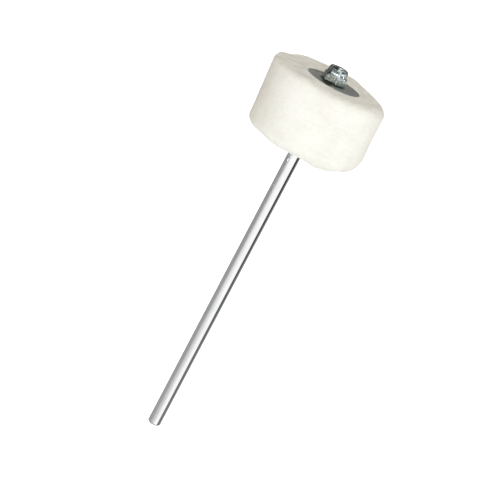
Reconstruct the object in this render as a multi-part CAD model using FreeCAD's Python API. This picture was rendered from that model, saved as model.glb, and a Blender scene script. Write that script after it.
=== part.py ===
import FreeCAD, Part
import math
import os

# Bass drum beater: a pressed-felt head clamped between two washers on the threaded end of a chromed shaft.
# Millimetres. The origin is the centre of the shaft's lower end, the end that a pedal's hub holds.
# +Z runs up the shaft to the head.

# Shaft, from its lower end upwards
SHAFT_DIAMETER = 8.0
SHANK_LENGTH = 188.0            # plain length below the thread
SHAFT_END_CHAMFER = 0.8         # bevelled edge of the lower end
THREAD_RUNOUT = 1.0             # length over which the thread fades into the plain shank
STUD_DIAMETER = 7.87            # over the crests of an M8 thread
STUD_PROJECTION = 0.8           # tip of the stud above the lock nut
STUD_TIP_CHAMFER = 1.0

# Large flat washers, one on each face of the head
WASHER_DIAMETER = 34.0
WASHER_THICKNESS = 1.5
WASHER_HOLE_PLAY = 0.27         # between hole and stud, on the radius
WASHER_EDGE_BEVEL = 0.3         # rolled-over edge on the side the punch entered

# Hexagon nuts: a thin one under the head, a tall one with a nylon ring above it
NUT_FLATS = 13.0                # across flats
NUT_FACE_SETBACK = 0.6          # the chamfer leaves a round face this far inside the flats
NUT_CHAMFER_ANGLE = 30.0        # degrees, between the chamfer and the face
NUT_THREAD_PLAY = 0.05          # between thread bore and stud, on the radius
NUT_COUNTERSINK = 0.5           # depth of the bevel at the mouth of the thread
JAM_NUT_HEIGHT = 4.0
LOCK_NUT_HEX_HEIGHT = 5.6
COLLAR_DIAMETER = 12.0          # round collar that holds the nylon ring
COLLAR_ROUND = 1.5              # outer edge of the collar, rolled inwards over the ring
COLLAR_LIP_THICKNESS = 0.5
COLLAR_LIP_OVERLAP = 0.6        # how far the rolled lip covers the ring
INSERT_WALL = 1.2               # nylon ring, from its hole to its rim
INSERT_HEIGHT = 3.1
INSERT_PLAY = 0.05              # ring to collar and ring to stud

# Felt head, pressed in at both faces by the washers
FELT_CLAMPED_THICKNESS = 38.0   # between the washers
FELT_UPPER_DIAMETER = 71.5      # over the upper rim's round
FELT_LOWER_DIAMETER = 70.3      # over the lower rim's round
FELT_UPPER_ROUND = 4.0
FELT_LOWER_ROUND = 8.0
FELT_UPPER_DISH = 3.0           # degrees, slope of the upper face down to its washer
FELT_RIM_RISE = 1.0             # crest of the upper rim above the upper washer
FELT_RIM_DROP = 1.0             # flat underside below the lower washer
FELT_SEAT_PLAY = 0.3            # between a washer's edge and its seat, on the radius
FELT_BORE_PLAY = 0.3            # between bore and stud, on the radius

# Heights of the stack, each piece seated on the one below it
jam_nut_z = SHANK_LENGTH + THREAD_RUNOUT
lower_washer_z = jam_nut_z + JAM_NUT_HEIGHT
felt_seat_z = lower_washer_z + WASHER_THICKNESS
upper_washer_z = felt_seat_z + FELT_CLAMPED_THICKNESS
lock_nut_z = upper_washer_z + WASHER_THICKNESS
lock_nut_height = LOCK_NUT_HEX_HEIGHT + INSERT_HEIGHT + COLLAR_LIP_THICKNESS
shaft_length = lock_nut_z + lock_nut_height + STUD_PROJECTION

# Radii that follow from the stud and the washers
shaft_radius = SHAFT_DIAMETER / 2
stud_radius = STUD_DIAMETER / 2
nut_bore_radius = stud_radius + NUT_THREAD_PLAY
insert_hole_radius = stud_radius + INSERT_PLAY
insert_rim_radius = insert_hole_radius + INSERT_WALL
insert_pocket_radius = insert_rim_radius + INSERT_PLAY
collar_mouth_radius = insert_rim_radius - COLLAR_LIP_OVERLAP
seat_radius = WASHER_DIAMETER / 2 + FELT_SEAT_PLAY

# Height beyond a face that a cutting tool runs past it
CUT_MARGIN = 5.0


def vector(radius, height):
    """A point of a half section: radius along X, height along Z."""
    return FreeCAD.Vector(radius, 0, height)


def line(start, end):
    """A straight edge between two (radius, height) points."""
    return Part.makeLine(vector(*start), vector(*end))


def arc(start, middle, end):
    """A circular edge through three (radius, height) points."""
    return Part.Arc(vector(*start), vector(*middle), vector(*end)).toShape()


def lines(points):
    """Straight edges from point to point."""
    return [line(a, b) for a, b in zip(points, points[1:])]


def revolved(edges):
    """The solid swept by a closed half section about the shaft's axis."""
    section = Part.Face(Part.Wire(edges))
    return section.revolve(FreeCAD.Vector(0, 0, 0), FreeCAD.Vector(0, 0, 1), 360)


def on_circle(centre, radius, degrees):
    """The (radius, height) point of a circle at an angle counted from the outward direction."""
    angle = math.radians(degrees)
    return centre[0] + radius * math.cos(angle), centre[1] + radius * math.sin(angle)


def ring(inner_radius, outer_radius, bottom, height):
    """A plain round ring."""
    outside = Part.makeCylinder(outer_radius, height, vector(0, bottom))
    return outside.cut(Part.makeCylinder(inner_radius, height, vector(0, bottom)))


def shaft():
    """Round bar with a bevelled lower end and a stud, whose thread is shown as its crests' cylinder."""
    return revolved(lines([
        (0, 0),
        (shaft_radius - SHAFT_END_CHAMFER, 0),
        (shaft_radius, SHAFT_END_CHAMFER),
        (shaft_radius, SHANK_LENGTH),
        (stud_radius, jam_nut_z),
        (stud_radius, shaft_length - STUD_TIP_CHAMFER),
        (stud_radius - STUD_TIP_CHAMFER, shaft_length),
        (0, shaft_length),
        (0, 0),
    ]))


def washer(seat, outward):
    """Stamped washer. seat is its face on the felt, and outward, +1 or -1, the way its rolled edge looks."""
    hole_radius = stud_radius + WASHER_HOLE_PLAY
    rim_radius = WASHER_DIAMETER / 2
    face = seat + outward * WASHER_THICKNESS
    return revolved(lines([
        (hole_radius, seat),
        (rim_radius, seat),
        (rim_radius, face - outward * WASHER_EDGE_BEVEL),
        (rim_radius - WASHER_EDGE_BEVEL, face),
        (hole_radius, face),
        (hole_radius, seat),
    ]))


def hexagon(height):
    """Hexagon prism whose ends are bevelled to a round face, which leaves an arch at each flat's end."""
    corner_radius = NUT_FLATS / math.sqrt(3)
    corners = []
    for corner in range(7):
        turn = corner * math.pi / 3
        corners.append(FreeCAD.Vector(corner_radius * math.cos(turn), corner_radius * math.sin(turn), 0))
    prism = Part.Face(Part.makePolygon(corners)).extrude(FreeCAD.Vector(0, 0, height))
    face_radius = NUT_FLATS / 2 - NUT_FACE_SETBACK
    bevel_height = (corner_radius - face_radius) * math.tan(math.radians(NUT_CHAMFER_ANGLE))
    turned = revolved(lines([
        (0, 0),
        (face_radius, 0),
        (corner_radius, bevel_height),
        (corner_radius, height - bevel_height),
        (face_radius, height),
        (0, height),
        (0, 0),
    ]))
    return prism.common(turned)


def countersink(mouth, inward):
    """Bevel at the mouth of a thread bore. inward is +1 where the bore runs up from it, -1 where down."""
    wide = nut_bore_radius + NUT_COUNTERSINK
    return revolved(lines([
        (0, mouth - inward * CUT_MARGIN),
        (wide, mouth - inward * CUT_MARGIN),
        (wide, mouth),
        (nut_bore_radius, mouth + inward * NUT_COUNTERSINK),
        (0, mouth + inward * NUT_COUNTERSINK),
        (0, mouth - inward * CUT_MARGIN),
    ]))


def thread_bore(bottom, height):
    """Tool for a nut's hole, which is as wide as the stud it runs on."""
    return Part.makeCylinder(nut_bore_radius, height + 2 * CUT_MARGIN, vector(0, bottom - CUT_MARGIN))


def jam_nut():
    """Thin nut, run down to the end of the thread to stop the head."""
    blank = hexagon(JAM_NUT_HEIGHT)
    blank = blank.cut(thread_bore(0, JAM_NUT_HEIGHT))
    blank = blank.cut(countersink(0, 1)).cut(countersink(JAM_NUT_HEIGHT, -1))
    return blank.translated(vector(0, jam_nut_z))


def lock_nut():
    """Tall nut: a bevelled hexagon under a round collar whose lip is rolled over a nylon ring."""
    collar_radius = COLLAR_DIAMETER / 2
    round_centre = (collar_radius - COLLAR_ROUND, lock_nut_height - COLLAR_ROUND)
    side_edge = on_circle(round_centre, COLLAR_ROUND, 0)
    top_edge = on_circle(round_centre, COLLAR_ROUND, 90)
    # The collar rises out of the hexagon's upper bevel, so its foot lies inside the hexagon.
    foot_z = LOCK_NUT_HEX_HEIGHT - NUT_FACE_SETBACK
    collar = revolved(
        lines([top_edge, (0, lock_nut_height), (0, foot_z), (collar_radius, foot_z), side_edge])
        + [arc(side_edge, on_circle(round_centre, COLLAR_ROUND, 45), top_edge)]
    )
    blank = hexagon(LOCK_NUT_HEX_HEIGHT).fuse(collar)
    pocket = Part.makeCylinder(insert_pocket_radius, INSERT_HEIGHT, vector(0, LOCK_NUT_HEX_HEIGHT))
    mouth = Part.makeCylinder(collar_mouth_radius, lock_nut_height, vector(0, LOCK_NUT_HEX_HEIGHT))
    blank = blank.cut(thread_bore(0, LOCK_NUT_HEX_HEIGHT)).cut(countersink(0, 1))
    return blank.cut(pocket).cut(mouth).translated(vector(0, lock_nut_z))


def lock_nut_insert():
    """Nylon ring in the lock nut's collar, which grips the stud."""
    pocket_z = lock_nut_z + LOCK_NUT_HEX_HEIGHT
    return ring(insert_hole_radius, insert_rim_radius, pocket_z, INSERT_HEIGHT - INSERT_PLAY)


def felt_head():
    """Felt block of revolution: rounded rims, flat underside, upper face that slopes down to its washer."""
    underside_z = lower_washer_z - FELT_RIM_DROP
    crest_z = lock_nut_z + FELT_RIM_RISE
    lower = (FELT_LOWER_DIAMETER / 2 - FELT_LOWER_ROUND, underside_z + FELT_LOWER_ROUND)
    upper = (FELT_UPPER_DIAMETER / 2 - FELT_UPPER_ROUND, crest_z - FELT_UPPER_ROUND)

    # The side is the straight line that touches both rim rounds, and meets them where they look its way.
    between_r = upper[0] - lower[0]
    between_z = upper[1] - lower[1]
    lean = math.acos((FELT_LOWER_ROUND - FELT_UPPER_ROUND) / math.hypot(between_r, between_z))
    side_turn = math.degrees(math.atan2(between_z, between_r) - lean)
    face_turn = 90 + FELT_UPPER_DISH

    lower_face = on_circle(lower, FELT_LOWER_ROUND, -90)
    lower_middle = on_circle(lower, FELT_LOWER_ROUND, (side_turn - 90) / 2)
    lower_side = on_circle(lower, FELT_LOWER_ROUND, side_turn)
    upper_side = on_circle(upper, FELT_UPPER_ROUND, side_turn)
    upper_middle = on_circle(upper, FELT_UPPER_ROUND, (side_turn + face_turn) / 2)
    upper_face = on_circle(upper, FELT_UPPER_ROUND, face_turn)
    upper_axis = (0, upper_face[1] - upper_face[0] * math.tan(math.radians(FELT_UPPER_DISH)))

    block = revolved([
        line((0, underside_z), lower_face),
        arc(lower_face, lower_middle, lower_side),
        line(lower_side, upper_side),
        arc(upper_side, upper_middle, upper_face),
        line(upper_face, upper_axis),
        line(upper_axis, (0, underside_z)),
    ])

    # The felt fills the whole space between the washers and stands up round their edges.
    core = Part.makeCylinder(seat_radius, FELT_CLAMPED_THICKNESS, vector(0, felt_seat_z))
    seat_reach = FELT_CLAMPED_THICKNESS
    lower_seat = Part.makeCylinder(seat_radius, seat_reach, vector(0, felt_seat_z - seat_reach))
    upper_seat = Part.makeCylinder(seat_radius, seat_reach, vector(0, upper_washer_z))
    bore = Part.makeCylinder(stud_radius + FELT_BORE_PLAY, shaft_length)
    return block.fuse(core).cut(lower_seat).cut(upper_seat).cut(bore).removeSplitter()


nodes = {
    "shaft": shaft(),
    "jam_nut": jam_nut(),
    "lower_washer": washer(felt_seat_z, -1),
    "felt_head": felt_head(),
    "upper_washer": washer(upper_washer_z, 1),
    "lock_nut": lock_nut(),
    "lock_nut_insert": lock_nut_insert(),
}

os.makedirs("parts", exist_ok=True)
for name, shape in nodes.items():
    shape.exportStep(f"parts/{name}.step")
    print(name, "solids", len(shape.Solids), "valid", shape.isValid(), "volume", round(shape.Volume, 1))
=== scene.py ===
import math
import random

import bpy
import numpy as np
from mathutils import Matrix, Vector, noise


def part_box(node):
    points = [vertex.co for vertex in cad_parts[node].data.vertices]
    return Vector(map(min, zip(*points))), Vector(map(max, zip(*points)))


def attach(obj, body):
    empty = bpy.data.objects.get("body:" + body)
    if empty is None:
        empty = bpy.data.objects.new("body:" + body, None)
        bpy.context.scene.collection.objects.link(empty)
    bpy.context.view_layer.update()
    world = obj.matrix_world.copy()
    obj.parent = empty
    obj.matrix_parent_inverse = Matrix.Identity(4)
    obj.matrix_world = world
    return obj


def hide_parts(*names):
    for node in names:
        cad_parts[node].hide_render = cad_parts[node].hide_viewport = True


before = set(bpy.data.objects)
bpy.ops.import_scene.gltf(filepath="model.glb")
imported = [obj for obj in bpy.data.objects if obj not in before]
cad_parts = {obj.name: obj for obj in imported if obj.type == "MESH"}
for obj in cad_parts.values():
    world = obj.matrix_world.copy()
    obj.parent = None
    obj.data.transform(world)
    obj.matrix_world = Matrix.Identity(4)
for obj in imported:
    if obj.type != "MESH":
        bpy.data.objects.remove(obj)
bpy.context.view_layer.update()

# Bass drum beater: felt head, chromed shaft and the hardware that clamps them, in the solids' frame
MM = 0.001
TURN = 2 * math.pi
CREASE_ANGLE = math.radians(38)           # edges that turn by more than this stay sharp

# Camera, fitted to the shaft's width and slant in the photograph
IMAGE_SIZE = 500
FOCAL_PIXELS = 1883
SENSOR_MM = 36.0
CAMERA_AZIMUTH = math.radians(285.0)      # from +X, with a corner of the lock nut a little to its right
CAMERA_ELEVATION = math.radians(16.4)
CAMERA_DISTANCE = 1.1
CAMERA_ROLL = math.radians(27.73)
AIM_HEIGHT = 0.117                        # point of the shaft that the camera was fitted about
CENTRE_OFFSET_PIXELS = (9.53, 7.63)       # from that point to the picture's centre, right and up
VIEW_RIGHT = CAMERA_AZIMUTH + math.pi / 2

# Shaft and its thread
SHAFT_RADIUS = 4.0 * MM
SHAFT_COLUMNS = 128
SHAFT_END_CHAMFER = 0.8 * MM
SHAFT_END_EASE = 0.12 * MM                # worn edges of that bevel
SHANK_FIRST_ROW = 2.0 * MM                # above the shaft's end
SHANK_LAST_ROW = 0.1 * MM                 # below the thread
SHANK_ROWS = 24
STUD_RADIUS = 3.935 * MM
STUD_TIP_CHAMFER = 1.0 * MM
STUD_TIP_CROWN = 0.4 * MM                 # how far the tip's face bulges
STUD_CROWN_SHARES = (0.2, 0.45, 0.7, 0.88, 0.97)
THREAD_LEAD = 1.0 * MM                    # thread below the jam nut
THREAD_PITCH = 1.25 * MM
THREAD_DEPTH = 0.677 * MM
THREAD_CREST = 1 / 16                     # half of a crest's flat, in pitches
THREAD_FLANK = 5 / 16                     # width of a flank, in pitches
THREAD_FADE = 2.0 * MM                    # run over which it reaches its full depth
THREAD_ROWS_PER_PITCH = 12

# Washers
WASHER_COLUMNS = 180
WASHER_HOLE_RADIUS = 4.205 * MM
WASHER_ROLL = 0.35 * MM
WASHER_HOLE_ROLL = 0.2 * MM
WASHER_BURR = 0.06 * MM
WASHER_HOLE_ROW = 0.3                     # share of its thickness
WASHER_BURRED_FACE_ROW = 0.5              # share of its radius
WASHER_ROLLED_FACE_ROWS = (0.85, 0.65, 0.45)

# Both nuts
NUT_SIDES = 6
NUT_COLUMNS = 288
NUT_APOTHEM = 6.5 * MM
NUT_CORNER_RADIUS = 7.45 * MM             # the corners are slightly rounded
NUT_CORNER_SHARPNESS = 400                # higher is crisper
NUT_BEVEL_SHARPNESS = 170
NUT_BORE_RADIUS = 3.985 * MM
NUT_COUNTERSINK = 0.5 * MM

# Jam nut
JAM_NUT_ROWS = 70
JAM_NUT_FACE_RADIUS = 5.9 * MM
JAM_NUT_FACE_ROW = 0.9                    # share of that radius
JAM_NUT_BEVEL_SLOPE = math.tan(math.radians(30))

# Lock nut: its collar leans in as it rises out of the bevel, then rolls over the nylon ring
LOCK_NUT_ROWS = 90
LOCK_NUT_HEX_HEIGHT = 5.6 * MM
LOCK_NUT_FOOT = 0.65 * MM                 # round washer face that the hexagon stands on
LOCK_NUT_FOOT_RADIUS = 5.7 * MM
LOCK_NUT_FOOT_EASE = 0.1 * MM
LOCK_NUT_PAINTED_SHADE = 0.45 * MM                # height of the painted shade on its foot
LOCK_NUT_LOWER_RADIUS = NUT_CORNER_RADIUS - 0.12 * MM
LOCK_NUT_CORNER_TAPER = 0.42 * MM         # the corners are cut away towards the top
LOCK_NUT_TOP_RADIUS = 5.7 * MM            # where its bevel would meet its upper face
LOCK_NUT_BEVEL_SLOPE = math.tan(math.radians(36))
COLLAR_FOOT_RADIUS = 6.1 * MM
COLLAR_RADIUS = 5.88 * MM
COLLAR_FILLET = 0.15 * MM
COLLAR_LEAN_HEIGHT = 1.25 * MM
COLLAR_LEAN_ROWS = 6
COLLAR_ROLL = ((6.0 * MM, 8), (0.7 * MM, 40), (3.2 * MM, 51), (0.65 * MM, 88))  # radius, slope at its end
COLLAR_ROLL_ROWS = 7                      # for each of these arcs
COLLAR_LIP = 0.5 * MM
COLLAR_MOUTH_RADIUS = 4.585 * MM

# Nylon ring
INSERT_COLUMNS = 120
INSERT_POCKET_RADIUS = 5.235 * MM
INSERT_CLEARANCE = 0.05 * MM
INSERT_EASE = 0.2 * MM

# Felt head: its uneven form is counted from the view's right, so that its rims sit as in the photograph
FELT_COLUMNS = 360
FELT_BORE_RADIUS = 4.235 * MM
FELT_LOWER_REACH = (35.07 * MM, 0.94 * MM)      # mean, and how much more of it there is on the right
FELT_UPPER_REACH = (35.70 * MM, -0.68 * MM)
FELT_LOWER_ROUND = (8.1 * MM, 4.1 * MM)
FELT_UPPER_ROUND = (4.45 * MM, 1.65 * MM)
FELT_UPPER_ROUND_NEAR = -0.1 * MM               # more of it at the near rim, less at the far rim
FELT_UPPER_ROUND_SADDLE = 0.25 * MM             # more of it at both of these, less at the left and right
FELT_UPPER_ROUND_END = 92                       # degrees: it rolls just past level
FELT_UNDERSIDE = (0.07 * MM, -1.25 * MM)        # above the solid's underside
FELT_CREST = (-0.25 * MM, -0.20 * MM)           # above the solid's crest
FELT_CREST_FAR = 0.55 * MM                      # far rim raised, near rim lowered
FELT_CREST_SADDLE = 0.60 * MM                   # far and near rims raised, left and right lowered
FELT_SEAT_GAP = 0.06 * MM
FELT_LIP_ROUND = 0.5 * MM
FELT_LIP_RISE = (0.54 * MM, -0.36 * MM)         # felt above the washer's face, at its edge
FELT_LIP_RISE_FAR = 0.3 * MM                    # more at the far rim, less at the near rim
FELT_LIP_LEAST = 0.16 * MM
FELT_LIP_OVERLAP = (0.9 * MM, -0.6 * MM)        # felt that creeps over the washer's edge
FELT_LIP_OVERLAP_FAR = 1.6 * MM
FELT_SEAT_ROWS = (0, 0.5, 1)                    # shares of the way across a washer's seat
FELT_BORE_ROWS = (0.25, 0.5, 0.75)              # shares of the way down the bore
FELT_UNDERSIDE_ROWS = 9
FELT_LOWER_ROUND_ROWS = 28
FELT_SIDE_ROWS = 44
FELT_UPPER_ROUND_ROWS = 26
FELT_TOP_ROWS = 22
FELT_SWELLS = ((0.45 * MM, 38), (0.20 * MM, 130))    # hand-cut unevenness: height, waves per metre
FELT_LUMPS = (0.09 * MM, 520)                   # matted lumps: the same
FELT_LUMP_FRACTAL = (0.8, 2.0, 3)               # falloff, step between octaves, octaves
FELT_UPPER_TONE_DEPTH = 1.5 * MM                      # a darker, smudgier tone fades in over this, up to the washer's face

# Dents of the felt's rims: degrees from the right, width in degrees, rise
LOWER_RIM_DENTS = ((-137, 9, 0.35 * MM), (-113, 12, -0.45 * MM), (-63, 9, -0.9 * MM), (-48, 8, -0.45 * MM),
                   (-26, 9, 0.8 * MM))
UPPER_RIM_DENTS = ((148, 8, -0.6 * MM), (129, 10, 0.65 * MM), (172, 9, 0.1 * MM), (68, 11, 0.7 * MM),
                   (-107, 9, 0.9 * MM), (-43, 10, 0.7 * MM))

# Wool ends that stand out of the felt
STRANDS = 3600
STRAND_SEED = 11
STRAND_SIDES = 3
STRAND_LENGTHS = (0.5 * MM, 1.6 * MM)
STRAND_RADIUS = 0.022 * MM
STRAND_ROOT_DEPTH = 0.1 * MM
STRAND_STATIONS = ((0, 1.0), (0.4, 1.0), (0.75, 0.8), (1, 0.4))  # share of its length, share of its radius
STRAND_OUTWARD = 0.8
STRAND_LEAN = 0.9
STRAND_LEAST_RISE = 0.15  # flatter strands are lifted
STRAND_LIFT = 0.5
STRAND_CURL = 0.35
STRAND_FIELD = 0.9  # they grow where the surface is at least this uneven

# Patches of painted shadow and shade on the metal: degrees right of the view, distance from the axis, radius
# where solid, where gone
PATCH_RAGGEDNESS = 3.0 * MM
# Painted shadow of the lock nut on the upper washer: a dark ring round its foot and a dark run to its front
# left
NUT_FOOT_SHADOW = (0, 0.0, 7.0 * MM, 8.2 * MM)
NUT_SHADOW_RUN = (-19, 8.6 * MM, 3.2 * MM, 4.6 * MM)
NUT_SHADOW_RUN_END = (-10, 12.4 * MM, 2.4 * MM, 4.2 * MM)
# Painted shade on the lock nut's left flat: a dark, dull patch
NUT_LEFT_PAINTED_SHADE = (-68, 8.5 * MM, 2.6 * MM, 3.6 * MM)
# Painted shade and light on the washers: darker inside this patch towards the right, paler beyond it
WASHER_SHADED_SIDE = (90, 2.8 * MM, 9.0 * MM, 18.5 * MM)

# Floor, world and lamps
FLOOR_HALF = 25.0
FLOOR_LEVEL = -1.0
FLOOR_COLOUR = (0.9, 0.9, 0.9, 1)
AMBIENT = 0.66
AMBIENT_COLOUR = (1.0, 0.958, 0.888, 1)
LAMP_COLOUR = (0.885, 0.975, 1.0)
LAMP_DISTANCE = 1.5
BEAM_HALF_ANGLE = math.radians(12)
BEAM_SOURCE_RADIUS = 0.03

# Wall round the object that only metal sees: (degrees right of the camera, brightness) for each band of it
UNDER_SHADES = ((-180, 0.25), (180, 0.25))
SHAFT_END_SHADES = ((-180, 0.25), (-150, 0.38), (-65, 0.42), (-37, 0.64), (-20, 0.66), (-3, 0.80), (13, 1.0),
                    (26, 1.12), (59, 1.15), (71, 0.22), (102, 0.18), (115, 0.28), (150, 0.38), (180, 0.25))
SHAFT_HEAD_SHADES = ((-180, 0.22), (-150, 0.34), (-65, 0.36), (-37, 0.80), (-20, 1.12), (64, 1.15),
                     (71, 0.02), (102, 0.02), (112, 0.3), (150, 0.38), (180, 0.22))
COLLAR_WALL_SHADES = ((-180, 0.34), (-150, 0.25), (-90, 0.12), (-60, 0.30), (20, 0.40), (32, 1.8), (86, 1.8),
                      (96, 0.6), (150, 0.45), (180, 0.30))
COLLAR_SHOULDER_SHADES = ((-180, 0.30), (-150, 0.22), (-90, 0.10), (18, 0.13), (26, 0.60), (36, 0.60),
                          (44, 0.14), (60, 0.14), (100, 0.5), (150, 0.42), (180, 0.25))
COLLAR_LEAN_SHADES = ((-180, 0.27), (-150, 0.20), (-75, 0.10), (-58, 0.9), (-40, 1.7), (34, 1.8), (50, 0.35),
                      (100, 0.5), (150, 0.40), (180, 0.20))
DOME_SHADES = ((-180, 0.25), (-130, 0.20), (-100, 0.05), (60, 0.05), (110, 0.2), (180, 0.22))
GLINT_SHADES = ((-180, 0.35), (-174, 0.1), (-90, 0.05), (60, 0.05), (110, 0.2), (158, 0.1), (168, 0.35),
                (180, 0.35))
CEILING_SHADES = ((-180, 0.4), (-172, 0.1), (-90, 0.05), (60, 0.05), (112, 0.08), (123, 1.8), (135, 2.1),
                  (160, 1.7), (180, 0.4))
ZENITH_SHADES = ((-180, 0.2), (-80, 0.05), (-15, 0.05), (5, 2.2), (80, 2.2), (105, 0.5), (180, 0.2))
WALL_STEP = 3  # degrees between its columns
WALL_REACH = 0.7
WALL_FLOOR = ((0.02, -0.85, UNDER_SHADES), (0.60, -0.85, UNDER_SHADES))  # reach, height, shades
WALL_BANDS = (  # lower edge, upper edge, shades
    (-0.80, -0.28, SHAFT_END_SHADES),
    (0.03, 0.06, SHAFT_HEAD_SHADES),
    (0.09, 0.16, COLLAR_WALL_SHADES),
    (0.20, 0.28, COLLAR_SHOULDER_SHADES),
    (0.32, 0.46, COLLAR_LEAN_SHADES),
)
WALL_CEILING = (  # reach, height, shades
    (WALL_REACH, 0.52, DOME_SHADES),
    (0.62, 0.70, GLINT_SHADES),
    (0.50, 0.90, CEILING_SHADES),
    (0.12, 1.10, ZENITH_SHADES),
)


# Places taken from the solids

def levels(node):
    """Lowest and highest point of a solid."""
    low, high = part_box(node)
    return low[2], high[2]


FELT_LOW, FELT_HIGH = levels("felt_head")
LOWER_SEAT = levels("lower_washer")[1]
UPPER_SEAT, WASHER_FACE = levels("upper_washer")
SEAT_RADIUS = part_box("upper_washer")[1][0] + FELT_SEAT_GAP


def towards(turn, elevation):
    """Unit vector from the axis, turned to the right of the camera's direction."""
    azimuth = CAMERA_AZIMUTH + turn
    return Vector((
        math.cos(elevation) * math.cos(azimuth),
        math.cos(elevation) * math.sin(azimuth),
        math.sin(elevation),
    ))


# Mesh tools

def mesh_object(name, verts, faces):
    """A smooth-shaded mesh object whose creases stay sharp."""
    mesh = bpy.data.meshes.new(name)
    mesh.from_pydata([tuple(v) for v in verts], [], faces)
    mesh.validate()
    for polygon in mesh.polygons:
        polygon.use_smooth = True
    mesh.set_sharp_from_angle(angle=CREASE_ANGLE)
    piece = bpy.data.objects.new(name, mesh)
    bpy.context.scene.collection.objects.link(piece)
    return piece


def band_faces(rows, columns, closed):
    """Quads of a grid that wraps round in its columns and, where closed, in its rows too."""
    faces = []
    for row in range(rows if closed else rows - 1):
        next_row = (row + 1) % rows
        for column in range(columns):
            beside = (column + 1) % columns
            faces.append((row * columns + column, row * columns + beside,
                          next_row * columns + beside, next_row * columns + column))
    return faces


def ring_points(radius, height, angles):
    """Points round the axis. radius and height are numbers or one value per angle."""
    radius = np.broadcast_to(radius, angles.shape)
    height = np.broadcast_to(height, angles.shape)
    return np.column_stack([radius * np.cos(angles), radius * np.sin(angles), height])


def tube_piece(name, rings):
    """A closed ring-shaped surface: the last ring joins the first."""
    columns = len(rings[0])
    return mesh_object(name, np.concatenate(rings), band_faces(len(rings), columns, True))


def capped_piece(name, rings, bottom, top):
    """A closed bar: rings between two end points on the axis."""
    columns = len(rings[0])
    verts = np.concatenate(rings + [[bottom, top]])
    faces = band_faces(len(rings), columns, False)
    low = len(rings) * columns
    last = (len(rings) - 1) * columns
    for column in range(columns):
        beside = (column + 1) % columns
        faces.append((low, beside, column))
        faces.append((low + 1, last + column, last + beside))
    return mesh_object(name, verts, faces)


def turned(name, profile, segments):
    """A ring turned about the axis from a closed (radius, height) outline."""
    angles = np.linspace(0, TURN, segments, endpoint=False)
    return tube_piece(name, [ring_points(radius, height, angles) for radius, height in profile])


def arc_points(centre, radius, start, end, count):
    """(radius, height) points of an arc, angles in degrees from the outward direction."""
    turns = np.radians(np.linspace(start, end, count))
    return [(centre[0] + radius * math.cos(turn), centre[1] + radius * math.sin(turn)) for turn in turns]


def rolled_points(radius, top, arcs):
    """(radius, height) points of a wall that arcs roll inwards, each to its slope, up to a top."""
    points = [(radius, 0.0)]
    start = 0
    for bend, end in arcs:
        turn = math.radians(start)
        centre = (points[-1][0] - bend * math.cos(turn), points[-1][1] - bend * math.sin(turn))
        points += arc_points(centre, bend, start, end, COLLAR_ROLL_ROWS)[1:]
        start = end
    rise = top - points[-1][1]
    return [(r, z + rise) for r, z in points]


def eased_rows(start, end, count):
    """(radius, height, share of the way) between two points, level at both."""
    rows = []
    for share in np.linspace(0, 1, count)[1:-1]:
        eased = share * share * (3 - 2 * share)
        rows.append((start[0] + share * (end[0] - start[0]), start[1] + eased * (end[1] - start[1]), share))
    return rows


def soft_min(first, second, sharpness):
    """The smaller of two positive lengths, with the corner between them slightly rounded."""
    smaller = np.minimum(first, second)
    return smaller * (1 + (smaller / np.maximum(first, second)) ** sharpness) ** (-1 / sharpness)


# Material tools

def start_material(name):
    """An empty node tree with a Principled shader, and the object coordinates in metres."""
    material = bpy.data.materials.new(name)
    material.use_nodes = True
    tree = material.node_tree
    shader = tree.nodes["Principled BSDF"]
    coordinates = tree.nodes.new("ShaderNodeTexCoord").outputs["Object"]
    return material, tree, shader, coordinates


def scaled(tree, coordinates, scale):
    """Coordinates stretched by a scale per axis."""
    mapping = tree.nodes.new("ShaderNodeMapping")
    mapping.inputs["Scale"].default_value = scale
    tree.links.new(coordinates, mapping.inputs["Vector"])
    return mapping.outputs["Vector"]


def noise_value(tree, coordinates, scale, detail=4.0, rough=0.55, distortion=0.0):
    """Fractal noise from 0 to 1."""
    texture = tree.nodes.new("ShaderNodeTexNoise")
    texture.inputs["Scale"].default_value = scale
    texture.inputs["Detail"].default_value = detail
    texture.inputs["Roughness"].default_value = rough
    texture.inputs["Distortion"].default_value = distortion
    tree.links.new(coordinates, texture.inputs["Vector"])
    return texture.outputs["Fac"]


def ramp(tree, value, stops):
    """Colour by value: stops are (position, colour)."""
    node = tree.nodes.new("ShaderNodeValToRGB")
    elements = node.color_ramp.elements
    while len(elements) < len(stops):
        elements.new(0.5)
    for element, (position, colour) in zip(elements, stops):
        element.position = position
        element.color = (*colour, 1.0)
    tree.links.new(value, node.inputs["Fac"])
    return node.outputs["Color"]


def spread(tree, value, low, high):
    """A 0 to 1 value mapped to a range."""
    node = tree.nodes.new("ShaderNodeMapRange")
    node.inputs["To Min"].default_value = low
    node.inputs["To Max"].default_value = high
    tree.links.new(value, node.inputs["Value"])
    return node.outputs["Result"]


def blended(tree, first, second, share, mode):
    """Two colours or values blended in a mode, by a fixed share."""
    node = tree.nodes.new("ShaderNodeMix")
    node.data_type = "RGBA"
    node.blend_type = mode
    node.inputs["Factor"].default_value = share
    tree.links.new(first, node.inputs["A"])
    tree.links.new(second, node.inputs["B"])
    return node.outputs["Result"]


def switched(tree, choice, first, second):
    """The first colour or value where the choice is 0, the second where it is 1."""
    node = tree.nodes.new("ShaderNodeMix")
    node.data_type = "RGBA"
    tree.links.new(choice, node.inputs["Factor"])
    tree.links.new(first, node.inputs["A"])
    tree.links.new(second, node.inputs["B"])
    return node.outputs["Result"]


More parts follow.
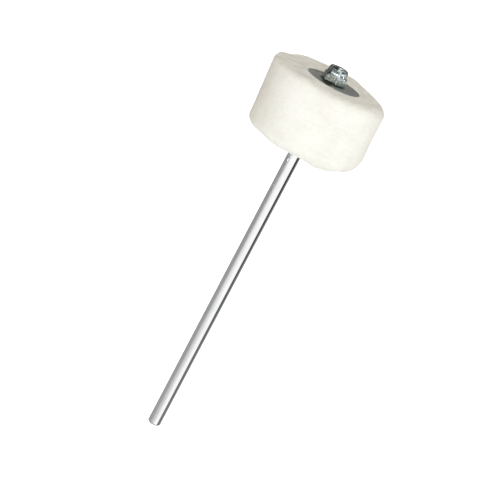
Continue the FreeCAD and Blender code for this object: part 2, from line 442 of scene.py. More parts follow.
def above(tree, coordinates, height, fade=0.2 * MM):
    """0 below a height of the object, 1 above it."""
    split = tree.nodes.new("ShaderNodeSeparateXYZ")
    tree.links.new(coordinates, split.inputs["Vector"])
    step = tree.nodes.new("ShaderNodeMapRange")
    step.inputs["From Min"].default_value = height
    step.inputs["From Max"].default_value = height + fade
    tree.links.new(split.outputs["Z"], step.inputs["Value"])
    return step.outputs["Result"]


def vector_step(tree, operation, first, second=None):
    """One step of vector arithmetic, with a fixed second vector where it takes one."""
    node = tree.nodes.new("ShaderNodeVectorMath")
    node.operation = operation
    tree.links.new(first, node.inputs[0])
    if second is not None:
        node.inputs[1].default_value = second
    return node


def ragged_patch(tree, coordinates, unevenness, patch):
    """1 inside a round patch with a ragged edge, through the whole height of the piece, 0 outside it."""
    turn, distance, solid, gone = patch
    centre = towards(math.radians(turn), 0) * distance
    from_centre = vector_step(tree, "SUBTRACT", coordinates, (centre.x, centre.y, 0))
    level = vector_step(tree, "MULTIPLY", from_centre.outputs["Vector"], (1, 1, 0))
    reach = vector_step(tree, "LENGTH", level.outputs["Vector"])
    ragged = tree.nodes.new("ShaderNodeMath")
    ragged.operation = "ADD"
    tree.links.new(reach.outputs["Value"], ragged.inputs[0])
    tree.links.new(spread(tree, unevenness, -PATCH_RAGGEDNESS, PATCH_RAGGEDNESS), ragged.inputs[1])
    edge = tree.nodes.new("ShaderNodeMapRange")
    edge.inputs["From Min"].default_value = solid
    edge.inputs["From Max"].default_value = gone
    edge.inputs["To Min"].default_value = 1.0
    edge.inputs["To Max"].default_value = 0.0
    tree.links.new(ragged.outputs["Value"], edge.inputs["Value"])
    return edge.outputs["Result"]


def add_bump(tree, shader, heights):
    """Stacks bumps on the shader: heights are (value, distance in metres, strength)."""
    normal = None
    for value, distance, strength in heights:
        node = tree.nodes.new("ShaderNodeBump")
        node.inputs["Distance"].default_value = distance
        node.inputs["Strength"].default_value = strength
        tree.links.new(value, node.inputs["Height"])
        if normal is not None:
            tree.links.new(normal, node.inputs["Normal"])
        normal = node.outputs["Normal"]
    tree.links.new(normal, shader.inputs["Normal"])


# Materials

def felt_material():
    """Pressed wool: warm white with soft mottling, matted fibres and a nap, darker and smudgier on its upper
    face.
    """
    material, tree, shader, place = start_material("wool_felt")
    clouds = noise_value(tree, place, scale=70, detail=5)
    smudges = noise_value(tree, place, scale=150, detail=5, rough=0.6)
    hues = noise_value(tree, place, scale=48, detail=2)
    flattened = scaled(tree, place, (1, 1, 1.8))
    mats = noise_value(tree, flattened, scale=420, detail=6, rough=0.62, distortion=0.8)
    fibres = noise_value(tree, place, scale=2600, detail=3, rough=0.7, distortion=1.5)
    clean = ramp(tree, clouds, [(0.32, (0.875, 0.852, 0.808)), (0.68, (0.930, 0.912, 0.876))])
    # Darker, smudgier tone over the upper face, fading in below the washer's face
    upper_face_tone = ramp(tree, smudges, [(0.36, (0.785, 0.765, 0.72)), (0.64, (0.93, 0.92, 0.875))])
    upper_face = above(tree, place, WASHER_FACE - FELT_UPPER_TONE_DEPTH, FELT_UPPER_TONE_DEPTH)
    tone = switched(tree, upper_face, clean, upper_face_tone)
    tint = ramp(tree, hues, [(0.38, (1.0, 0.988, 0.985)), (0.62, (0.995, 1.0, 0.98))])
    matted = ramp(tree, mats, [(0.25, (0.91, 0.90, 0.88)), (0.55, (1.0, 1.0, 1.0))])
    tinted = blended(tree, tone, tint, 1.0, "MULTIPLY")
    tree.links.new(blended(tree, tinted, matted, 0.75, "MULTIPLY"), shader.inputs["Base Color"])
    shader.inputs["Roughness"].default_value = 0.95
    shader.inputs["Specular IOR Level"].default_value = 0.15
    shader.inputs["Sheen Weight"].default_value = 0.15
    shader.inputs["Sheen Roughness"].default_value = 0.6
    add_bump(tree, shader, [(mats, 0.5 * MM, 0.45), (fibres, 0.12 * MM, 0.5)])
    return material


def chrome_material():
    """Chrome plate over a ground bar, faintly ringed and patchy, and bare steel where the thread is cut."""
    material, tree, shader, place = start_material("chrome_plate")
    rings = noise_value(tree, scaled(tree, place, (1, 1, 60)), scale=90, detail=3)
    patches = noise_value(tree, place, scale=160, detail=3)
    grains = noise_value(tree, place, scale=1500, detail=4)
    plated = ramp(tree, patches, [(0.3, (0.80, 0.805, 0.815)), (0.7, (0.86, 0.86, 0.865))])
    bare = ramp(tree, grains, [(0.3, (0.20, 0.21, 0.21)), (0.7, (0.36, 0.37, 0.37))])
    turned_face = ramp(tree, grains, [(0.3, (0.72, 0.74, 0.74)), (0.7, (0.88, 0.90, 0.90))])
    cut = above(tree, place, levels("jam_nut")[0])
    tip = above(tree, place, levels("shaft")[1] - STUD_TIP_CHAMFER)
    steel = switched(tree, tip, bare, turned_face)
    tree.links.new(switched(tree, cut, plated, steel), shader.inputs["Base Color"])
    shader.inputs["Metallic"].default_value = 1.0
    polish = spread(tree, patches, 0.035, 0.085)
    rough = switched(tree, tip, spread(tree, grains, 0.25, 0.45), spread(tree, grains, 0.12, 0.20))
    tree.links.new(switched(tree, cut, polish, rough), shader.inputs["Roughness"])
    add_bump(tree, shader, [(rings, 0.004 * MM, 0.3)])
    return material


def zinc_material(name, painted_shade_height, shade_patch=None):
    """Bright zinc plate: cool mottled grey with handling marks, with painted shade below a height and, where
    given, a patch of painted shade.
    """
    material, tree, shader, place = start_material(name)
    grains = noise_value(tree, place, scale=1000, detail=3, rough=0.6)
    smears = noise_value(tree, scaled(tree, place, (1, 1, 0.35)), scale=420, detail=4, distortion=0.6)
    tone = ramp(tree, grains, [(0.41, (0.25, 0.295, 0.295)), (0.59, (0.76, 0.845, 0.845))])
    polish = spread(tree, smears, 0.10, 0.22)
    shader.inputs["Metallic"].default_value = 1.0
    # Painted shade: a dark, dull patch at the given place
    if shade_patch:
        patch_shade_tone = ramp(tree, grains, [(0.38, (0.05, 0.055, 0.055)), (0.62, (0.18, 0.195, 0.19))])
        shaded_area = ragged_patch(tree, place, smears, shade_patch)
        tone = switched(tree, shaded_area, tone, patch_shade_tone)
        polish = switched(tree, shaded_area, polish, spread(tree, smears, 0.4, 0.6))
        tree.links.new(spread(tree, shaded_area, 1.0, 0.0), shader.inputs["Metallic"])
    # Painted shade: near-black below the given height, on the nut's underside and foot
    painted_shade = ramp(tree, smears, [(0.3, (0.03, 0.03, 0.03)), (0.7, (0.08, 0.08, 0.075))])
    clear = above(tree, place, painted_shade_height)
    tree.links.new(switched(tree, clear, painted_shade, tone), shader.inputs["Base Color"])
    tree.links.new(polish, shader.inputs["Roughness"])
    add_bump(tree, shader, [(grains, 0.01 * MM, 0.35), (smears, 0.01 * MM, 0.2)])
    return material


def washer_material(name, *shade_patches):
    """Dull zinc plate on a stamped washer: mottled grey with painted shade to the right, painted light
    elsewhere, and painted black shadow at given patches.
    """
    material, tree, shader, place = start_material(name)
    grains = noise_value(tree, place, scale=900, detail=5, rough=0.65)
    blotches = noise_value(tree, place, scale=190, detail=4, distortion=0.4)
    creep = noise_value(tree, place, scale=330, detail=5, rough=0.6, distortion=0.5)
    # Painted shade and light: darker over a patch towards the right, paler beyond it
    shaded_side_tone = ramp(tree, blotches, [(0.3, (0.435, 0.462, 0.422)), (0.7, (0.555, 0.585, 0.535))])
    lit_side_tone = ramp(tree, blotches, [(0.3, (0.69, 0.705, 0.615)), (0.7, (0.83, 0.85, 0.745))])
    tone = switched(tree, ragged_patch(tree, place, creep, WASHER_SHADED_SIDE), lit_side_tone, shaded_side_tone)
    shade = ramp(tree, grains, [(0.3, (0.82, 0.82, 0.83)), (0.7, (1.0, 1.0, 1.0))])
    colour = blended(tree, tone, shade, 1.0, "MULTIPLY")
    polish = spread(tree, grains, 0.24, 0.40)
    shader.inputs["Metallic"].default_value = 1.0
    shader.inputs["Specular IOR Level"].default_value = 0.2
    # Painted shadow: near-black, dull patches at the given places
    if shade_patches:
        shaded_area = ragged_patch(tree, place, creep, shade_patches[0])
        for shade_patch in shade_patches[1:]:
            shaded_area = blended(tree, shaded_area, ragged_patch(tree, place, creep, shade_patch), 1.0, "SCREEN")
        painted_shadow = ramp(tree, grains, [(0.3, (0.03, 0.03, 0.028)), (0.7, (0.07, 0.07, 0.062))])
        colour = switched(tree, shaded_area, colour, painted_shadow)
        polish = switched(tree, shaded_area, polish, spread(tree, grains, 0.7, 0.9))
        tree.links.new(spread(tree, shaded_area, 1.0, 0.0), shader.inputs["Metallic"])
    tree.links.new(colour, shader.inputs["Base Color"])
    tree.links.new(polish, shader.inputs["Roughness"])
    add_bump(tree, shader, [(grains, 0.015 * MM, 0.3)])
    return material


def nylon_material():
    """Natural nylon: milky off-white, faintly uneven where it was moulded."""
    material, tree, shader, place = start_material("nylon")
    flow = noise_value(tree, place, scale=600, detail=3)
    tone = ramp(tree, flow, [(0.3, (0.72, 0.72, 0.69)), (0.7, (0.82, 0.82, 0.80))])
    tree.links.new(tone, shader.inputs["Base Color"])
    tree.links.new(spread(tree, flow, 0.35, 0.5), shader.inputs["Roughness"])
    add_bump(tree, shader, [(flow, 0.02 * MM, 0.2)])
    return material


# Shaft

def bevelled_end(level, angles):
    """Rings from the face of the shaft's lower end over its bevel, whose edges are worn."""
    face = SHAFT_RADIUS - SHAFT_END_CHAMFER
    ease = SHAFT_END_EASE
    bevel_top = level + SHAFT_END_CHAMFER
    outline = (
        (face - ease, level),
        (face, level + ease / 4),
        (face + ease, level + ease),
        (SHAFT_RADIUS - ease, bevel_top - ease),
        (SHAFT_RADIUS - ease / 5, bevel_top + ease / 5),
        (SHAFT_RADIUS, bevel_top + ease * 1.5),
    )
    return [ring_points(radius, height, angles) for radius, height in outline]


def thread_rings(start, end, angles):
    """Rings up the stud: a right-hand thread that fades in, cut off by the bevel of the tip."""
    rings = []
    count = int((end - start) / THREAD_PITCH * THREAD_ROWS_PER_PITCH)
    for height in np.linspace(start, end, count + 1)[1:]:
        phase = height / THREAD_PITCH - angles / TURN
        from_crest = np.abs(phase - np.round(phase))
        cut = np.clip((from_crest - THREAD_CREST) / THREAD_FLANK, 0, 1)
        started = min(1.0, (height - start) / THREAD_FADE)
        crest = SHAFT_RADIUS + (STUD_RADIUS - SHAFT_RADIUS) * started
        radius = crest - THREAD_DEPTH * started * cut
        radius = np.minimum(radius, STUD_RADIUS - STUD_TIP_CHAMFER + (end - height))
        rings.append(ring_points(radius, height, angles))
    return rings


def shaft_bar():
    """Ground bar with bevelled ends, a thread cut into its upper part and a slightly domed tip."""
    low, high = levels("shaft")
    thread_start = levels("jam_nut")[0] - THREAD_LEAD
    face = high - STUD_TIP_CROWN
    angles = np.linspace(0, TURN, SHAFT_COLUMNS, endpoint=False)
    rings = bevelled_end(low, angles)
    shank = np.linspace(low + SHANK_FIRST_ROW, thread_start - SHANK_LAST_ROW, SHANK_ROWS)
    rings += [ring_points(SHAFT_RADIUS, height, angles) for height in [*shank, thread_start]]
    rings += thread_rings(thread_start, face, angles)
    for share in STUD_CROWN_SHARES:
        bulge = (STUD_RADIUS - STUD_TIP_CHAMFER) * math.sqrt(1 - share)
        rings.append(ring_points(bulge, face + share * STUD_TIP_CROWN, angles))
    return capped_piece("shaft_bar", rings, (0, 0, low), (0, 0, high))


# Washers and nuts

def washer_plate(name, node, outward):
    """Stamped washer: rolled edges on its outward face (1 up, -1 down) and a slight burr on the other."""
    low, high = levels(node)
    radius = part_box(node)[1][0]
    thickness = high - low
    hole = WASHER_HOLE_RADIUS
    burr = WASHER_BURR
    roll_centre = (radius - WASHER_ROLL, thickness - WASHER_ROLL)
    hole_centre = (hole + WASHER_HOLE_ROLL, thickness - WASHER_HOLE_ROLL)
    outline = [(hole, thickness * WASHER_HOLE_ROW), (hole + burr / 3, burr / 3), (hole + burr, 0)]
    outline += [(radius * WASHER_BURRED_FACE_ROW, 0), (radius - burr, 0)]
    outline += [(radius - burr / 3, burr / 3), (radius, burr)]
    outline += arc_points(roll_centre, WASHER_ROLL, start=0, end=90, count=7)
    outline += [(radius * share, thickness) for share in WASHER_ROLLED_FACE_ROWS]
    outline += arc_points(hole_centre, WASHER_HOLE_ROLL, start=90, end=180, count=5)
    if outward > 0:
        profile = [(r, low + z) for r, z in outline]
    else:
        profile = [(r, high - z) for r, z in reversed(outline)]
    return turned(name, profile, WASHER_COLUMNS)


def hexagon_radius(angles, corner_radius):
    """Distance from the axis to a hexagon with slightly rounded corners and a corner on +X."""
    side = TURN / NUT_SIDES
    facing = [np.clip(np.cos(angles - (k + 0.5) * side), 0, 1) for k in range(NUT_SIDES)]
    hexagon = NUT_APOTHEM / np.max(facing, axis=0)
    return soft_min(hexagon, np.full_like(hexagon, corner_radius), NUT_CORNER_SHARPNESS)


def hexagon_rings(height, angles, rows, lower_radius, upper_radius, slope, taper=0.0):
    """(radius by angle, height) up the outside of a hexagon with ends bevelled from these radii."""
    rings = []
    for share in np.linspace(-1, 1, rows):
        level = height * (0.5 + 0.5 * math.sin(share * math.pi / 2))
        flats = hexagon_radius(angles, NUT_CORNER_RADIUS - taper * level / height)
        bevel = min(lower_radius + level / slope, upper_radius + (height - level) / slope)
        rings.append((soft_min(flats, np.full_like(flats, bevel), NUT_BEVEL_SHARPNESS), level))
    return rings


def jam_nut_piece():
    """Thin nut, bevelled and countersunk at both ends."""
    low, high = levels("jam_nut")
    height = high - low
    angles = np.linspace(0, TURN, NUT_COLUMNS, endpoint=False)
    face = JAM_NUT_FACE_RADIUS
    inner_face = [NUT_BORE_RADIUS + NUT_COUNTERSINK, face * JAM_NUT_FACE_ROW]
    outline = [(NUT_BORE_RADIUS, height - NUT_COUNTERSINK), (NUT_BORE_RADIUS, NUT_COUNTERSINK)]
    outline += [(radius, 0) for radius in inner_face]
    outline += hexagon_rings(height, angles, JAM_NUT_ROWS, face, face, JAM_NUT_BEVEL_SLOPE)
    outline += [(radius, height) for radius in reversed(inner_face)]
    return tube_piece("jam_nut_hex", [ring_points(r, low + z, angles) for r, z in outline])


def lock_nut_base():
    """(radius, height) points from the lock nut's bore to the foot that its hexagon stands on."""
    ease = LOCK_NUT_FOOT_EASE
    return [
        (NUT_BORE_RADIUS, LOCK_NUT_HEX_HEIGHT),
        (NUT_BORE_RADIUS, NUT_COUNTERSINK),
        (NUT_BORE_RADIUS + NUT_COUNTERSINK, 0),
        (LOCK_NUT_FOOT_RADIUS - ease, 0),
        (LOCK_NUT_FOOT_RADIUS, ease),
        (LOCK_NUT_FOOT_RADIUS, LOCK_NUT_FOOT - ease / 2),
        (LOCK_NUT_FOOT_RADIUS + ease, LOCK_NUT_FOOT),
    ]


def collar_outline(foot, top):
    """(radius, height) points of the lock nut's collar, from its foot over its lip into the ring's pocket."""
    points = []
    for share in np.linspace(0, 1, COLLAR_LEAN_ROWS)[1:]:
        points.append((COLLAR_FOOT_RADIUS + share * (COLLAR_RADIUS - COLLAR_FOOT_RADIUS),
                       foot + share * COLLAR_LEAN_HEIGHT))
    points.append((COLLAR_RADIUS, foot + COLLAR_LEAN_HEIGHT + COLLAR_FILLET / 2))
    points += rolled_points(COLLAR_RADIUS, top, COLLAR_ROLL)
    lip_edge = COLLAR_LIP / 2
    lip_centre = (COLLAR_MOUTH_RADIUS + lip_edge, top - lip_edge)
    points += arc_points(lip_centre, lip_edge, start=92, end=268, count=10)
    points += [(INSERT_POCKET_RADIUS, top - COLLAR_LIP), (INSERT_POCKET_RADIUS, LOCK_NUT_HEX_HEIGHT)]
    return points


def lock_nut_piece():
    """Self-locking nut: bevelled hexagon, round collar and a lip rolled over the nylon ring."""
    low, high = levels("lock_nut")
    angles = np.linspace(0, TURN, NUT_COLUMNS, endpoint=False)
    fillet_radius = COLLAR_FOOT_RADIUS + COLLAR_FILLET
    bevel_end = LOCK_NUT_HEX_HEIGHT - (fillet_radius - LOCK_NUT_TOP_RADIUS) * LOCK_NUT_BEVEL_SLOPE
    collar_foot = bevel_end + COLLAR_FILLET
    hexagon = hexagon_rings(LOCK_NUT_HEX_HEIGHT - LOCK_NUT_FOOT, angles, LOCK_NUT_ROWS, LOCK_NUT_LOWER_RADIUS,
                            LOCK_NUT_TOP_RADIUS, LOCK_NUT_BEVEL_SLOPE, LOCK_NUT_CORNER_TAPER)
    outline = lock_nut_base()
    outline += [(r, LOCK_NUT_FOOT + z) for r, z in hexagon if LOCK_NUT_FOOT + z < bevel_end]
    outline += arc_points((fillet_radius, collar_foot), COLLAR_FILLET, start=250, end=190, count=6)
    outline += collar_outline(collar_foot, high - low)
    return tube_piece("lock_nut_hex", [ring_points(r, low + z, angles) for r, z in outline])


def insert_ring():
    """Nylon ring with eased edges."""
    low, high = levels("lock_nut_insert")
    ease = INSERT_EASE
    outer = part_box("lock_nut_insert")[1][0] - ease
    inner = STUD_RADIUS + INSERT_CLEARANCE + ease
    lower = low + ease
    upper = high - ease
    profile = []
    for quarter, centre in enumerate(((outer, lower), (outer, upper), (inner, upper), (inner, lower))):
        start = 90 * (quarter - 1)
        profile += arc_points(centre, ease, start, start + 90, count=5)
    return turned("nylon_ring", profile, INSERT_COLUMNS)


# Felt head

def by_side(pair, rightward):
    """A size that differs from left to right."""
    return pair[0] + pair[1] * rightward


def dents(places, turn):
    """Rise of a rim at an azimuth counted from the view's right."""
    rise = 0.0
    for centre, width, height in places:
        apart = math.degrees(math.remainder(turn - math.radians(centre), TURN))
        rise += height * math.exp(-(apart / width) ** 2)
    return rise


def felt_rounds(turn):
    """Lower and upper rim round at an azimuth counted from the view's right, each as (centre, radius)."""
    rightward = math.cos(turn)
    lower = by_side(FELT_LOWER_ROUND, rightward)
    upper = by_side(FELT_UPPER_ROUND, rightward)
    upper -= FELT_UPPER_ROUND_NEAR * math.sin(turn) + FELT_UPPER_ROUND_SADDLE * math.cos(2 * turn)
    under = FELT_LOW + by_side(FELT_UNDERSIDE, rightward) + dents(LOWER_RIM_DENTS, turn)
    crest = FELT_HIGH + by_side(FELT_CREST, rightward) + dents(UPPER_RIM_DENTS, turn)
    crest += FELT_CREST_FAR * math.sin(turn) - FELT_CREST_SADDLE * math.cos(2 * turn)
    lower_centre = (by_side(FELT_LOWER_REACH, rightward) - lower, under + lower)
    upper_centre = (by_side(FELT_UPPER_REACH, rightward) - upper, crest - upper)
    return (lower_centre, lower), (upper_centre, upper)


def felt_underside(lower):
    """Rows from the bore along the lower washer's seat, round its lip and out to the lower rim."""
    centre, radius = lower
    across = SEAT_RADIUS - FELT_BORE_RADIUS
    lip_radius = SEAT_RADIUS + FELT_LIP_ROUND
    lip = arc_points((lip_radius, FELT_LOW + FELT_LIP_ROUND), FELT_LIP_ROUND, start=180, end=270, count=5)
    rows = [(FELT_BORE_RADIUS + share * across, LOWER_SEAT, 0) for share in FELT_SEAT_ROWS]
    rows += [(r, z, 0) for r, z in lip]
    rim = (centre[0], centre[1] - radius)
    return rows + eased_rows((lip_radius, FELT_LOW), rim, FELT_UNDERSIDE_ROWS)


def felt_side(lower, upper):
    """Rows up the lower rim's round, the straight side between the rounds and the upper rim's round."""
    (lower_centre, lower_round), (upper_centre, upper_round) = lower, upper
    lower_reach = lower_centre[0] + lower_round
    upper_reach = upper_centre[0] + upper_round
    rows = arc_points(lower_centre, lower_round, start=-90, end=0, count=FELT_LOWER_ROUND_ROWS)
    for share in np.linspace(0, 1, FELT_SIDE_ROWS)[1:-1]:
        rows.append((lower_reach + share * (upper_reach - lower_reach),
                     lower_centre[1] + share * (upper_centre[1] - lower_centre[1])))
    rows += arc_points(upper_centre, upper_round, 0, FELT_UPPER_ROUND_END, FELT_UPPER_ROUND_ROWS)
    return [(r, z, 1) for r, z in rows]


def felt_top(turn, crest):
    """Rows from the crest in to the lip that creeps over the upper washer's edge, and round that lip."""
    rightward = math.cos(turn)
    overlap = by_side(FELT_LIP_OVERLAP, rightward) + FELT_LIP_OVERLAP_FAR * math.sin(turn)
    rise = by_side(FELT_LIP_RISE, rightward) + FELT_LIP_RISE_FAR * math.sin(turn)
    rise = max(rise, FELT_LIP_LEAST)
    lip_radius = SEAT_RADIUS + FELT_LIP_ROUND - max(0.0, overlap)
    lip_round = rise / 2 - FELT_SEAT_GAP
    lip_height = WASHER_FACE + rise
    lip = arc_points((lip_radius, lip_height - lip_round), lip_round, start=90, end=270, count=9)
    face = eased_rows(crest[:2], (lip_radius, lip_height), FELT_TOP_ROWS)
    rows = [(r, z, 1 - share ** 3) for r, z, share in face]
    rows += [(r, z, 0) for r, z in lip]
    return rows + [(SEAT_RADIUS, WASHER_FACE + FELT_SEAT_GAP, 0)]


def felt_bore():
    """Rows along the upper washer's seat and down the bore."""
    across = FELT_BORE_RADIUS - SEAT_RADIUS
    down = LOWER_SEAT - UPPER_SEAT
    rows = [(SEAT_RADIUS + share * across, UPPER_SEAT, 0) for share in FELT_SEAT_ROWS]
    return rows + [(FELT_BORE_RADIUS, UPPER_SEAT + share * down, 0) for share in FELT_BORE_ROWS]


def felt_section(angle):
    """Half section of the felt at one azimuth, as (radius, height, share of the surface's unevenness)."""
    turn = angle - VIEW_RIGHT
    lower, upper = felt_rounds(turn)
    rows = felt_underside(lower) + felt_side(lower, upper)
    return rows + felt_top(turn, rows[-1]) + felt_bore()


def felt_swell(place):
    """How far the felt's surface stands out at a place."""
    height, waves = FELT_LUMPS
    swell = height * noise.fractal(place * waves, *FELT_LUMP_FRACTAL)
    for height, waves in FELT_SWELLS:
        swell += height * noise.noise(place * waves)
    return swell


def felt_block():
    """The felt as one closed mesh, with the points and normals of its outer surface."""
    angles = np.linspace(0, TURN, FELT_COLUMNS, endpoint=False)
    sections = np.array([felt_section(angle) for angle in angles]).transpose(1, 0, 2)
    radius, height, share = sections[:, :, 0], sections[:, :, 1], sections[:, :, 2]
    points = np.stack([radius * np.cos(angles), radius * np.sin(angles), height], axis=-1)
    along = np.roll(points, -1, axis=0) - np.roll(points, 1, axis=0)
    around = np.roll(points, -1, axis=1) - np.roll(points, 1, axis=1)
    normal = np.cross(around, along)
    normal /= np.linalg.norm(normal, axis=-1, keepdims=True)
    swell = np.zeros(share.shape)
    for row, column in np.argwhere(share > 0):
        swell[row, column] = felt_swell(Vector(points[row, column]))
    points = points + normal * (swell * share)[..., None]
    field = share > STRAND_FIELD
    return tube_piece("felt_block", list(points)), points[field], normal[field]


def random_way(chance):
    """A unit vector in any direction."""
    return Vector((chance.gauss(0, 1), chance.gauss(0, 1), chance.gauss(0, 1))).normalized()


def strand_points(root, way, curl, length):
    """Rings of points along one curved, tapering strand."""
    across = way.orthogonal().normalized()
    beside = way.cross(across)
    points = []
    for share, taper in STRAND_STATIONS:
        centre = root + way * length * share + curl * length * STRAND_CURL * share * share
        for corner in range(STRAND_SIDES):
            turn = corner * TURN / STRAND_SIDES
            side = across * math.cos(turn) + beside * math.sin(turn)
            points.append(centre + side * STRAND_RADIUS * taper)
    return points


def strand_faces(first):
    """Faces of one closed strand whose points start at this number."""
    rows = len(STRAND_STATIONS)
    faces = band_faces(rows, STRAND_SIDES, False)
    faces.append(tuple(reversed(range(STRAND_SIDES))))
    faces.append(tuple(range((rows - 1) * STRAND_SIDES, rows * STRAND_SIDES)))
    return [tuple(first + corner for corner in face) for face in faces]


def felt_fuzz(points, normals):
    """Short wool ends that stand out of the felt's surface."""
    chance = random.Random(STRAND_SEED)
    verts = []
    faces = []
    for _ in range(STRANDS):
        pick = chance.randrange(len(points))
        out = Vector(normals[pick])
        lean = random_way(chance)
        curl = random_way(chance)
        way = (out * STRAND_OUTWARD + lean * STRAND_LEAN).normalized()
        if way.dot(out) < STRAND_LEAST_RISE:
            way = (way + out * STRAND_LIFT).normalized()
        length = chance.uniform(*STRAND_LENGTHS)
        root = Vector(points[pick]) - out * STRAND_ROOT_DEPTH
        faces += strand_faces(len(verts))
        verts += strand_points(root, way, curl, length)
    return mesh_object("felt_fuzz", verts, faces)


# Studio

def seen_directly(tree):
    """1 for rays from the camera, from gloss and through glass, and 0 for the rest."""
    path = tree.nodes.new("ShaderNodeLightPath")
    total = path.outputs["Is Camera Ray"]
    for kind in ("Is Glossy Ray", "Is Transmission Ray"):
        either = tree.nodes.new("ShaderNodeMath")
        either.operation = "MAXIMUM"
        tree.links.new(total, either.inputs[0])
        tree.links.new(path.outputs[kind], either.inputs[1])
        total = either.outputs["Value"]
    return total


def stage_object(name, mesh):
    """Puts a mesh on the stage with an empty material, and returns the object and the material's nodes."""
    stage = bpy.data.objects.new(name, mesh)
    bpy.context.scene.collection.objects.link(stage)
    material = bpy.data.materials.new(name)
    material.use_nodes = True
    material.node_tree.nodes.clear()
    mesh.materials.append(material)
    return stage, material.node_tree


def floor_plane():
    """Pale floor, wide enough to be the whole background."""
    half = FLOOR_HALF
    corners = [(x, y, FLOOR_LEVEL) for x, y in ((-half, -half), (half, -half), (half, half), (-half, half))]
    mesh = bpy.data.meshes.new("floor")
    mesh.from_pydata(corners, [], [(0, 1, 2, 3)])
    _, tree = stage_object("floor", mesh)
    diffuse = tree.nodes.new("ShaderNodeBsdfDiffuse")
    diffuse.inputs["Color"].default_value = FLOOR_COLOUR
    glow = tree.nodes.new("ShaderNodeEmission")
    tree.links.new(seen_directly(tree), glow.inputs["Strength"])
    both = tree.nodes.new("ShaderNodeAddShader")
    tree.links.new(diffuse.outputs["BSDF"], both.inputs[0])
    tree.links.new(glow.outputs["Emission"], both.inputs[1])
    output = tree.nodes.new("ShaderNodeOutputMaterial")
    tree.links.new(both.outputs["Shader"], output.inputs["Surface"])


def studio_wall():
    """Round wall of grey and white panels and one dark flag, for the metal's reflections alone."""
    turns = np.arange(-180, 180, WALL_STEP)
    angles = np.radians(turns) + CAMERA_AZIMUTH
    rows = list(WALL_FLOOR)
    for low, high, shades in WALL_BANDS:
        rows += [(WALL_REACH, low, shades), (WALL_REACH, high, shades)]
    rows += WALL_CEILING
    verts = []
    brightness = []
    for reach, height, shades in rows:
        verts += [(reach * math.cos(a), reach * math.sin(a), height) for a in angles]
        places, values = zip(*shades)
        brightness += list(np.interp(turns, places, values))
    mesh = bpy.data.meshes.new("studio_wall")
    mesh.from_pydata(verts, [], band_faces(len(rows), len(turns), False))
    mesh.attributes.new("brightness", "FLOAT", "POINT").data.foreach_set("value", brightness)
    wall, tree = stage_object("studio_wall", mesh)
    wall.visible_camera = False
    wall.visible_diffuse = False
    wall.visible_shadow = False
    wall.visible_transmission = False
    level = tree.nodes.new("ShaderNodeAttribute")
    level.attribute_name = "brightness"
    glow = tree.nodes.new("ShaderNodeEmission")
    tree.links.new(level.outputs["Fac"], glow.inputs["Strength"])
    output = tree.nodes.new("ShaderNodeOutputMaterial")
    tree.links.new(glow.outputs["Emission"], output.inputs["Surface"])


def white_world():
    """White all round for the eye and for metal, and a softer, slightly warmer light on the object."""
    world = bpy.data.worlds.new("studio")
    bpy.context.scene.world = world
    world.use_nodes = True
    tree = world.node_tree
    soft = tree.nodes["Background"]
    soft.inputs["Color"].default_value = AMBIENT_COLOUR
    soft.inputs["Strength"].default_value = AMBIENT
    white = tree.nodes.new("ShaderNodeBackground")
    white.inputs["Color"].default_value = (1, 1, 1, 1)
    white.inputs["Strength"].default_value = 1.0
    choice = tree.nodes.new("ShaderNodeMixShader")
    tree.links.new(seen_directly(tree), choice.inputs["Fac"])
    tree.links.new(soft.outputs["Background"], choice.inputs[1])
    tree.links.new(white.outputs["Background"], choice.inputs[2])
    tree.links.new(choice.outputs["Shader"], tree.nodes["World Output"].inputs["Surface"])


def place_lamp(lamp, turn, elevation, aside=0.0):
    """Hangs a lamp in a direction from the head. It looks aside from the head, to its right."""
    head = Vector((0, 0, (FELT_LOW + FELT_HIGH) / 2))
    holder = bpy.data.objects.new(lamp.name, lamp)
    holder.location = head + towards(turn, elevation) * LAMP_DISTANCE
    beside = towards(turn + math.pi / 2, 0)
    back = holder.location - (head + beside * aside)
    holder.rotation_euler = back.to_track_quat("Z", "Y").to_euler()
    holder.visible_camera = False
    bpy.context.scene.collection.objects.link(holder)


def soft_box(name, turn, elevation, size, watts):
    """A square soft box that looks at the head."""
    lamp = bpy.data.lights.new(name, "AREA")
    lamp.shape = "SQUARE"
    lamp.size = size
    lamp.energy = watts
    lamp.color = LAMP_COLOUR
    place_lamp(lamp, math.radians(turn), math.radians(elevation))


def flagged_lamp(name, turn, elevation, edge, fade, side, watts):
    """A wide beam whose soft edge falls on the head, this far to one side of its axis."""
    lamp = bpy.data.lights.new(name, "SPOT")
    lamp.spot_size = 2 * BEAM_HALF_ANGLE
    inner = math.cos(BEAM_HALF_ANGLE - fade / LAMP_DISTANCE)
    outer = math.cos(BEAM_HALF_ANGLE)
    lamp.spot_blend = (inner - outer) / (1 - outer)
    lamp.shadow_soft_size = BEAM_SOURCE_RADIUS
    lamp.energy = watts
    lamp.color = LAMP_COLOUR
    aside = side * LAMP_DISTANCE * math.tan(BEAM_HALF_ANGLE + edge / LAMP_DISTANCE)
    place_lamp(lamp, math.radians(turn), math.radians(elevation), aside)


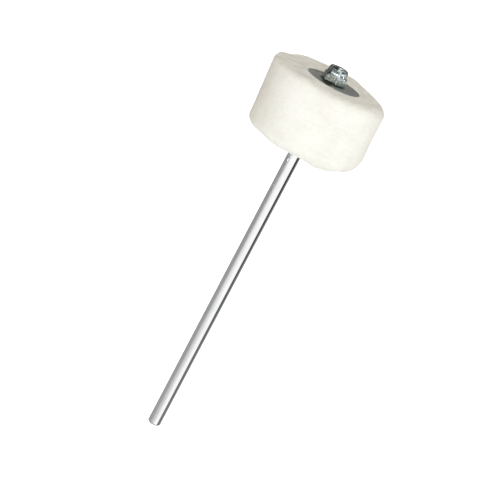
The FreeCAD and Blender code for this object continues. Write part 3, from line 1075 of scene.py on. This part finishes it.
def add_camera():
    """Camera that sees the shaft lean and shrink as in the photograph."""
    back = towards(0, CAMERA_ELEVATION)
    fitted_point = Vector((0, 0, AIM_HEIGHT))
    place = fitted_point + back * CAMERA_DISTANCE
    level_right = Vector((0, 0, 1)).cross(back).normalized()
    level_up = back.cross(level_right)
    right = level_right * math.cos(CAMERA_ROLL) + level_up * math.sin(CAMERA_ROLL)
    up = level_up * math.cos(CAMERA_ROLL) - level_right * math.sin(CAMERA_ROLL)
    per_pixel = CAMERA_DISTANCE / FOCAL_PIXELS
    aim = fitted_point + (right * CENTRE_OFFSET_PIXELS[0] + up * CENTRE_OFFSET_PIXELS[1]) * per_pixel
    back = (place - aim).normalized()
    right = up.cross(back).normalized()
    up = back.cross(right)
    lens = bpy.data.cameras.new("camera")
    lens.sensor_width = SENSOR_MM
    lens.lens = SENSOR_MM * FOCAL_PIXELS / IMAGE_SIZE
    holder = bpy.data.objects.new("camera", lens)
    holder.matrix_world = Matrix.Translation(place) @ Matrix((right, up, back)).transposed().to_4x4()
    bpy.context.scene.collection.objects.link(holder)
    bpy.context.scene.camera = holder


# Assembly

def dress(piece, body, slot, material, *nodes):
    """Puts a piece on its body, gives it its material, and lets it stand for solids. The slot is not used."""
    piece.data.materials.append(material)
    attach(piece, body)
    if nodes:
        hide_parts(*nodes)


def dress_head():
    """The felt and its fuzz, which share one material."""
    wool = felt_material()
    felt, points, normals = felt_block()
    dress(felt, "head", "white_wool_felt", wool, "felt_head")
    dress(felt_fuzz(points, normals), "head", "white_wool_felt", wool)


def dress_hardware():
    """The shaft and what clamps the felt on it."""
    clean_plate = washer_material("dull_zinc")
    # Painted shadow of the lock nut on the upper washer
    shadowed_plate = washer_material("shadowed_dull_zinc", NUT_FOOT_SHADOW, NUT_SHADOW_RUN, NUT_SHADOW_RUN_END)
    # Painted shade on each nut below its given height
    jam_zinc = zinc_material("jam_nut_zinc", levels("jam_nut")[0])
    # The lock nut also carries a patch of painted shade on its left flat
    lock_zinc = zinc_material("lock_nut_zinc", levels("lock_nut")[0] + LOCK_NUT_PAINTED_SHADE, NUT_LEFT_PAINTED_SHADE)
    dress(shaft_bar(), "shaft", "chrome_plated_steel", chrome_material(), "shaft")
    dress(jam_nut_piece(), "shaft", "zinc_plated_steel", jam_zinc, "jam_nut")
    lower_plate = washer_plate("lower_washer_plate", "lower_washer", -1)
    dress(lower_plate, "shaft", "dull_zinc_plate", clean_plate, "lower_washer")
    upper_plate = washer_plate("upper_washer_plate", "upper_washer", 1)
    dress(upper_plate, "shaft", "dull_zinc_plate", shadowed_plate, "upper_washer")
    dress(lock_nut_piece(), "nut", "zinc_plated_steel", lock_zinc, "lock_nut")
    dress(insert_ring(), "nut_thread", "nylon", nylon_material(), "lock_nut_insert")


def light_studio():
    """Floor, world, lamps and the wall that the metal mirrors."""
    floor_plane()
    white_world()
    soft_box("front_high", turn=17, elevation=14, size=0.9, watts=6.1)
    soft_box("front_low", turn=14, elevation=-30, size=0.9, watts=6.5)
    flagged_lamp("left_light", turn=-64, elevation=-14, edge=9.0 * MM, fade=18 * MM, side=1, watts=18.0)
    flagged_lamp("right_light", turn=97, elevation=7, edge=15.0 * MM, fade=7.0 * MM, side=-1, watts=21.8)
    studio_wall()


dress_head()
dress_hardware()
light_studio()
add_camera()
bpy.context.scene.view_settings.view_transform = "Standard"
